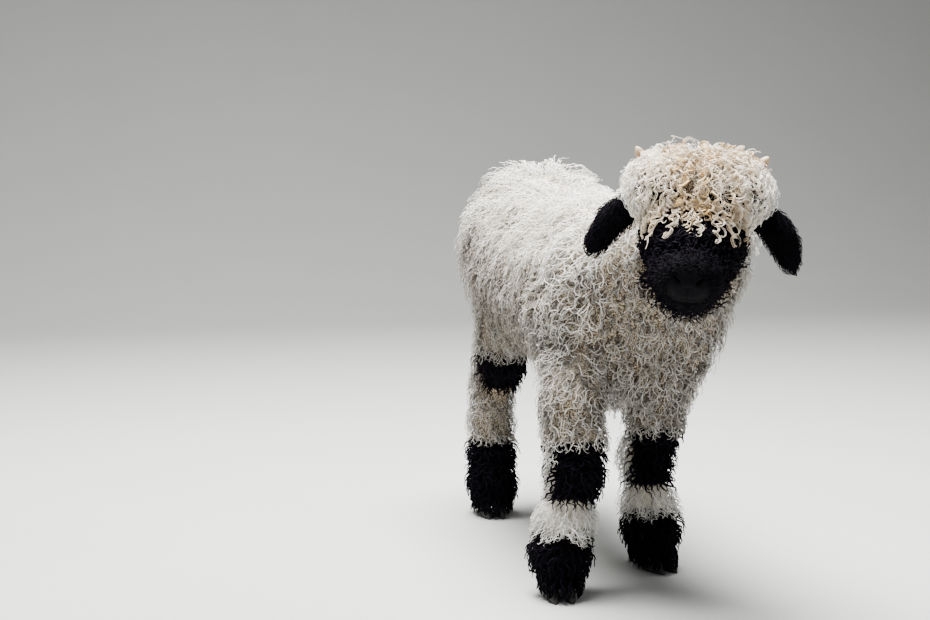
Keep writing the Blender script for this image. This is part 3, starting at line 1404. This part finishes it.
class LAMB_OT_forelock(bpy.types.Operator):
    """The mop of ringlets between the horns"""

    bl_idname = "lamb.forelock"
    bl_label = "Forelock"

    def execute(self, context):
        s = context.scene.lamb_fleece
        hide = hide_of_skin()
        here = in_head(hide.co)
        mop = (inside_mop(here) < MOP_SKIN) & (here[:, 2] > -0.010)
        wool = wool_material(context.scene.lamb_colours)
        # White fluff over the crown and at the sides, with a few loose loops above it.
        crown = mop & (hide.black < 0.5)
        coat = Coat(hide, crown, spacing=0.0042, seed=31)
        place = in_head(coat.points)
        middle = np.exp(-(place[:, 0] / 0.056) ** 2) * ramp(place[:, 1], -0.03, 0.03)
        coat.layer *= np.where(coat.rng.random(coat.count) < 0.18 * (1 - middle), 1.5, 1.0)
        bared = near_horns(place) * np.where(place[:, 0] > 0, 0.85, 0.1)
        front = ramp(place[:, 1], 0.015, 0.045)
        depth = 0.017 * (1 - 0.25 * middle - 0.25 * front) * (1 - bared)
        outer = ramp(np.abs(place[:, 0]), 0.055, 0.080)
        length = coat.vary(0.028, 0.7, 1.25) * (1 - 0.4 * outer)
        coat.lay(forelock_flow, length, depth, shape=(0.0, 0.65, 0.95, 1.05, 1.1), turn=0.55, swirls=0.6,
                 droop=0.003, size=0.03)
        coat.curl(coat.vary(0.0038, 0.6, 1.35), coat.vary(0.0125, 0.8, 1.3), coat.vary(0.0009, 0.75, 1.3),
                  segments=18, tilt=(0.4, 1.4), flat=0.9, tip=0.5)
        values = {
            "tone": np.clip(coat.tones(0.95, 0.12) - (0.35 + 0.35 * front) * middle, 0, 1),
            "gold": np.clip(middle * coat.rng.uniform(0.5, 1.1, coat.count), 0, 1),
            "clean": np.clip(1.0 - 0.8 * middle, 0, 1),
        }
        coat.make(("forelock_right", "forelock_left"), place[:, 0], values, wool)
        # Fine frizz that stands off the mop and blurs its outline.
        coat = Coat(hide, crown, spacing=0.0050, seed=33)
        place = in_head(coat.points)
        middle = np.exp(-(place[:, 0] / 0.050) ** 2) * ramp(place[:, 1], -0.03, 0.03)
        bared = near_horns(place) * np.where(place[:, 0] > 0, 0.7, 0.1)
        length, depth = coat.vary(0.022, 0.6, 1.4), 0.026 * (1 - bared) * (1 - 0.3 * middle)
        coat.lay(forelock_flow, length, depth, shape=(0.0, 0.6, 0.95, 1.1, 1.15), turn=0.8, swirls=0.6,
                 droop=0.001, size=0.03)
        coat.curl(coat.vary(0.0034, 0.5, 1.3), coat.vary(0.0100, 0.7, 1.4), coat.vary(0.00045, 0.7, 1.3),
                  segments=14, tilt=(0.3, 1.4), flat=1.0, tip=0.4)
        values = {
            "tone": np.ones(coat.count),
            "gold": 0.4 * middle,
            "clean": np.ones(coat.count),
        }
        coat.make(("forelock_frizz",), place[:, 0], values, wool)
        # Golden corkscrews that hang over the brow and end in rings.
        brow = (inside_mop(here) < 1.34) & (np.abs(here[:, 0]) < 0.042) & (here[:, 2] > 0.0)
        brow |= mop
        coat = Coat(hide, brow & (here[:, 1] > -0.005 - 0.3 * np.abs(here[:, 0])), spacing=0.0069, seed=36)
        place = in_head(coat.points)
        coat.layer = coat.rng.uniform(0.75, 1.1, coat.count)
        side = np.clip(np.abs(place[:, 0]) / 0.078, 0, 1) ** 2
        depth = 0.022 * (1 - 0.5 * near_horns(place)) * (1 - 0.25 * ramp(place[:, 1], 0.060, 0.090))
        # None hangs lower than the forelock's edge, which rises a little to the sides.
        edge = MOP_EDGE + 0.019 * np.clip(np.abs(place[:, 0]) / 0.045, 0, 1) ** 2
        room = np.maximum(coat.points[:, 2] - edge, 0.0) + coat.vary(0.004, 0.3, 1.6)
        length = np.minimum(coat.vary(s.ringlet_length, 0.75, 1.2) * (1.1 - 0.45 * side), room * 1.7)
        coat.lay(brow_flow, length, depth, shape=(0.0, 0.85, 1.05, 1.05, 1.0), turn=0.20, swirls=0.35,
                 droop=0.006, size=0.04)
        coat.curl(coat.vary(s.ringlet_curl, 0.8, 1.2) * (1 - 0.15 * side), coat.vary(0.0110, 0.8, 1.25),
                  coat.vary(0.00074, 0.8, 1.2), segments=30, tilt=(0.45, 1.55), flat=1.0, tip=0.6, late=1.6,
                  slow=1.3)
        coat.bundle(3, 0.0009)
        middle = np.exp(-(place[:, 0] / 0.062) ** 2)
        values = {
            "tone": np.clip(coat.tones(1.0, 0.25), 0, 1),
            "gold": np.clip(middle * coat.rng.uniform(0.4, 1.15, coat.count), 0, 1),
            "clean": 0.85 + 0.15 * side,
        }
        coat.make(("forelock_ringlets",), place[:, 0], values, wool)
        return {"FINISHED"}


class LAMB_OT_face_hair(bpy.types.Operator):
    """The small black curls of the face and the fringe under the jaw"""

    bl_idname = "lamb.face_hair"
    bl_label = "Face hair"

    def execute(self, context):
        s = context.scene.lamb_hair
        hide = hide_of_skin()
        here = in_head(hide.co)
        face = (head_region(here) > 0.5) & (hide.black > 0.6) & ~on_ear(here)
        face &= (hide.bare < 0.55) & ((inside_mop(here) > 1.30) | (np.abs(here[:, 0]) > 0.045))
        face &= eye_distance(here) > 0.0045
        coat = Coat(hide, face, spacing=0.0036, seed=41)
        place = in_head(coat.points)
        # The hair is short round the eyes, so that it doesn't lie over them.
        clear = 0.25 + 0.75 * ramp(eye_distance(place), 0.006, 0.024)
        back = ramp(place[:, 1], 0.190, 0.140)
        jaw = ramp(place[:, 2], -0.060, -0.085)
        length = coat.vary(s.face_length, 0.75, 1.2) * (0.35 + 0.65 * back + 0.60 * jaw) * clear
        depth = 0.0025 + (0.0088 * back + 0.005 * jaw) * clear ** 2
        coat.lay(face_flow, length, depth, shape=(0.0, 0.65, 0.95, 1.05), turn=0.6, swirls=0.8,
                 droop=0.001 + 0.009 * jaw, size=0.02)
        coat.curl(coat.vary(s.face_curl, 0.7, 1.25) * (0.4 + 0.6 * back), coat.vary(0.0095, 0.8, 1.3),
                  coat.vary(1.0, 0.8, 1.25) * (0.0008 + 0.0010 * back), segments=10, tilt=(0.3, 1.35))
        coat.make_black(("face_hair_right", "face_hair_left"), place[:, 0], context)
        return {"FINISHED"}


class LAMB_OT_ear_hair(bpy.types.Operator):
    """The velvety black tufts of the ears, longer along their edges"""

    bl_idname = "lamb.ear_hair"
    bl_label = "Ear hair"

    def execute(self, context):
        s = context.scene.lamb_hair
        hide = hide_of_skin()
        here = in_head(hide.co)
        ear = (head_region(here) > 0.5) & (hide.black > 0.6) & on_ear(here)
        coat = Coat(hide, ear, spacing=0.0031, seed=51)
        coat.lay(ear_flow, coat.vary(s.ear_length, 0.7, 1.3), depth=0.0040, shape=(0.0, 0.6, 0.95, 1.0),
                 turn=0.35, droop=0.0015)
        coat.curl(coat.vary(0.0009, 0.5, 1.3), coat.vary(0.008, 0.8, 1.2), coat.vary(0.0007, 0.8, 1.25),
                  segments=7, slow=1.1, tip=0.25)
        coat.make_black(("ear_hair_right", "ear_hair_left"), coat.points[:, 0], context)
        return {"FINISHED"}


class LAMB_OT_leg_hair(bpy.types.Operator):
    """The shaggy black hair of knees, hocks and feet"""

    bl_idname = "lamb.leg_hair"
    bl_label = "Leg hair"

    def execute(self, context):
        s = context.scene.lamb_hair
        hide = hide_of_skin()
        legs = starting(*LEGS)[hide.owner]
        coat = Coat(hide, legs & (hide.black >= 0.5), spacing=0.0048, seed=61)
        foot = owners("foot")[coat.owner]
        length = coat.hang(coat.vary(s.leg_length, 0.75, 1.25))
        # The tufts of the feet reach the claws' lower edge. The hind left foot is slimmer, as the
        # photo hides it behind the foreleg.
        to_floor = np.maximum(coat.points[:, 2] - 0.003, 0.012)
        length = np.where(foot, np.minimum(length * 1.15, to_floor), length)
        hidden = starting("hindleg_left")[coat.owner]
        low_down = ramp(coat.points[:, 2], 0.040, 0.015)
        depth = 0.0140 - 0.001 * foot - 0.008 * hidden - 0.006 * foot * low_down
        coat.lay(leg_flow, length, depth, shape=(0.0, 0.6, 0.95, 1.1), turn=0.40, swirls=0.50, size=0.03)
        for leg in LEGS:
            round_claws = starting(leg + "_foot")[coat.owner] & (coat.points[:, 2] < 0.046)
            coat.skirt(leg, round_claws, margin=0.0028)
        coat.spine[:, :, 2] = np.maximum(coat.spine[:, :, 2], 0.004)
        coat.curl(coat.vary(0.0022, 0.5, 1.3), coat.vary(0.0110, 0.8, 1.3), coat.vary(0.0019, 0.75, 1.3),
                  segments=9, tilt=(0.2, 1.3), slow=1.1, tip=0.22)
        coat.make_black(("leg_hair",), coat.points[:, 1], context)
        return {"FINISHED"}


class LAMB_OT_eyes(bpy.types.Operator):
    """The two eyes, each with a bulging cornea and its axis out to the side"""

    bl_idname = "lamb.eyes"
    bl_label = "Eyes"

    def execute(self, context):
        wet = eye_material(context.scene.lamb_colours)
        for side, name in ((1, "eye_left"), (-1, "eye_right")):
            bm = bmesh.new()
            bmesh.ops.create_uvsphere(bm, u_segments=48, v_segments=32, radius=EYE_RADIUS)
            for vert in bm.verts:
                edge = math.hypot(vert.co.x, vert.co.y) / (0.68 * EYE_RADIUS)
                if vert.co.z > 0 and edge < 1:
                    vert.co.z += 0.0011 * (1 - edge ** 2)
            thing = object_from("eyeball_" + name.split("_")[1], bm)
            outward = (HEAD.to_3x3() @ Vector((side * 0.90, 0.42, 0.12))).normalized()
            level = UP.cross(outward).normalized()
            turn = Matrix((level, outward.cross(level), outward)).transposed().to_4x4()
            middle = HEAD @ mirrored(side, EYE_PLACE)
            thing.matrix_world = Matrix.Translation(middle) @ turn
            dress(thing, wet, "eye", name)
        return {"FINISHED"}


class LAMB_OT_horns(bpy.types.Operator):
    """The two horn buds, ringed and blunt"""

    bl_idname = "lamb.horns"
    bl_label = "Horns"

    def execute(self, context):
        keratin = horn_material(context.scene.lamb_colours)
        sides, count = 28, 40
        for side, name in ((1, "horn_left"), (-1, "horn_right")):
            base, tip = mirrored(side, HORN_BASE), mirrored(side, HORN_TIP)
            ahead = (tip - base).normalized()
            across = ahead.orthogonal().normalized()
            rings, along = [], []
            for i in range(count):
                share = i / (count - 1)
                size = 1.18 - 0.84 * share ** 1.3
                size *= math.sqrt(max(1.0 - (max(share - 0.80, 0.0) / 0.205) ** 2, 0.002))
                radius = HORN_RADIUS * size * (1 + 0.030 * math.sin(share * 42.0) * (1 - share))
                centre = base + (tip - base) * share
                rings.append([
                    HEAD @ (centre + (across * math.cos(a) + ahead.cross(across) * math.sin(a) * 0.86) * radius)
                    for a in (2 * math.pi * k / sides for k in range(sides))
                ])
                along += [share] * sides
            thing = loft("horn_bud_" + name.split("_")[1], rings)
            add_value(thing.data, "along", np.clip((np.array(along) - 0.72) / 0.28, 0, 1) ** 1.3)
            dress(thing, keratin, "horn", name)
        return {"FINISHED"}


class LAMB_OT_hooves(bpy.types.Operator):
    """The eight claws, rounded and ringed"""

    bl_idname = "lamb.hooves"
    bl_label = "Hooves"

    def execute(self, context):
        dull = hoof_material(context.scene.lamb_colours)
        for name in sorted(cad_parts):
            if "claw" not in name:
                continue
            thing = nodes_joined([name])
            thing.name = name.replace("claw", "hoof")
            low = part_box(name)[0].z
            remesh(thing, 0.0014)
            relax(thing.data, 6, 0.5)
            co = co_of(thing.data)
            normals = normals_of(thing.data)
            rings = context.scene.lamb_build.hoof_ring * np.sin(co[:, 2] / (3.2 * MM) * 2 * np.pi)
            side = np.sqrt(np.clip(1 - normals[:, 2] ** 2, 0, 1))
            co += normals * (rings * side + 0.0003)[:, None]
            co[:, 2] = np.maximum(co[:, 2], low)
            set_co(thing.data, co)
            dress(thing, dull, "hoof", name)
        return {"FINISHED"}


class LAMB_OT_stage(bpy.types.Operator):
    """A plain pale floor, soft lights and the camera of the photograph"""

    bl_idname = "lamb.stage"
    bl_label = "Stage"

    def execute(self, context):
        scene = context.scene
        # The floor sweeps up behind the lamb, so that no edge shows.
        profile = [(-FLOOR_HALF, 0.0), (SWEEP_START, 0.0)]
        for i in range(1, SWEEP_STEPS + 1):
            angle = math.pi / 2 * i / SWEEP_STEPS
            rise = SWEEP_RADIUS * (1 - math.cos(angle))
            profile.append((SWEEP_START + SWEEP_RADIUS * math.sin(angle), rise))
        profile.append((SWEEP_START + SWEEP_RADIUS, FLOOR_TOP))
        bm = bmesh.new()
        rows = [[bm.verts.new((x, y, z)) for x in (-FLOOR_HALF, FLOOR_HALF)] for y, z in profile]
        for near, far in zip(rows, rows[1:]):
            bm.faces.new((near[0], near[1], far[1], far[0]))
        floor = object_from("floor", bm)
        floor.data.shade_smooth()
        floor.data.materials.append(floor_material(scene.lamb_colours))
        world = bpy.data.worlds.new("studio")
        world.use_nodes = True
        sky = world.node_tree.nodes["Background"]
        sky.inputs["Color"].default_value = wide(linear("E4E8EE"))
        sky.inputs["Strength"].default_value = SKY_STRENGTH
        scene.world = world
        for name, place, size, power in LAMPS:
            lamp = bpy.data.lights.new(name, "AREA")
            lamp.energy = power
            lamp.size = size
            thing = bpy.data.objects.new(name, lamp)
            thing.location = place
            thing.rotation_euler = (LAMPS_AIM - Vector(place)).to_track_quat("-Z", "Y").to_euler()
            scene.collection.objects.link(thing)
        camera = bpy.data.objects.new("camera", bpy.data.cameras.new("camera"))
        camera.data.lens = CAMERA_LENS
        camera.data.sensor_width = CAMERA_SENSOR
        camera.location = CAMERA_PLACE
        level = Vector((math.sin(CAMERA_TURN), math.cos(CAMERA_TURN), 0.0)) * math.cos(CAMERA_DIP)
        ahead = level - UP * math.sin(CAMERA_DIP)
        camera.rotation_euler = ahead.to_track_quat("-Z", "Y").to_euler()
        scene.collection.objects.link(camera)
        scene.camera = camera
        return {"FINISHED"}


class LAMB_PT_panel(bpy.types.Panel):
    """Lists the lamb's settings and the steps that build it"""

    bl_idname = "LAMB_PT_panel"
    bl_label = "Valais Blacknose Lamb"
    bl_space_type = "VIEW_3D"
    bl_region_type = "UI"
    bl_category = "Lamb"

    def draw(self, context):
        scene = context.scene
        for group in (scene.lamb_build, scene.lamb_fleece, scene.lamb_hair, scene.lamb_colours):
            column = self.layout.column(align=True)
            for key in group.__annotations__:
                column.prop(group, key)
        for step in STEPS:
            self.layout.operator(step.bl_idname)


STEPS = (
    LAMB_OT_skin,
    LAMB_OT_fleece,
    LAMB_OT_leg_wool,
    LAMB_OT_forelock,
    LAMB_OT_face_hair,
    LAMB_OT_ear_hair,
    LAMB_OT_leg_hair,
    LAMB_OT_eyes,
    LAMB_OT_horns,
    LAMB_OT_hooves,
    LAMB_OT_stage,
)
GROUPS = (LambBuild, LambFleece, LambHair, LambColours)


def register():
    for item in GROUPS + STEPS + (LAMB_PT_panel,):
        bpy.utils.register_class(item)
    bpy.types.Scene.lamb_build = PointerProperty(type=LambBuild)
    bpy.types.Scene.lamb_fleece = PointerProperty(type=LambFleece)
    bpy.types.Scene.lamb_hair = PointerProperty(type=LambHair)
    bpy.types.Scene.lamb_colours = PointerProperty(type=LambColours)


def unregister():
    for name in ("lamb_build", "lamb_fleece", "lamb_hair", "lamb_colours"):
        delattr(bpy.types.Scene, name)
    for item in reversed(GROUPS + STEPS + (LAMB_PT_panel,)):
        bpy.utils.unregister_class(item)


def main():
    register()
    bpy.ops.lamb.skin()
    bpy.ops.lamb.fleece()
    bpy.ops.lamb.leg_wool()
    bpy.ops.lamb.forelock()
    bpy.ops.lamb.face_hair()
    bpy.ops.lamb.ear_hair()
    bpy.ops.lamb.leg_hair()
    bpy.ops.lamb.eyes()
    bpy.ops.lamb.horns()
    bpy.ops.lamb.hooves()
    bpy.ops.lamb.stage()


if __name__ == "__main__":
    main()
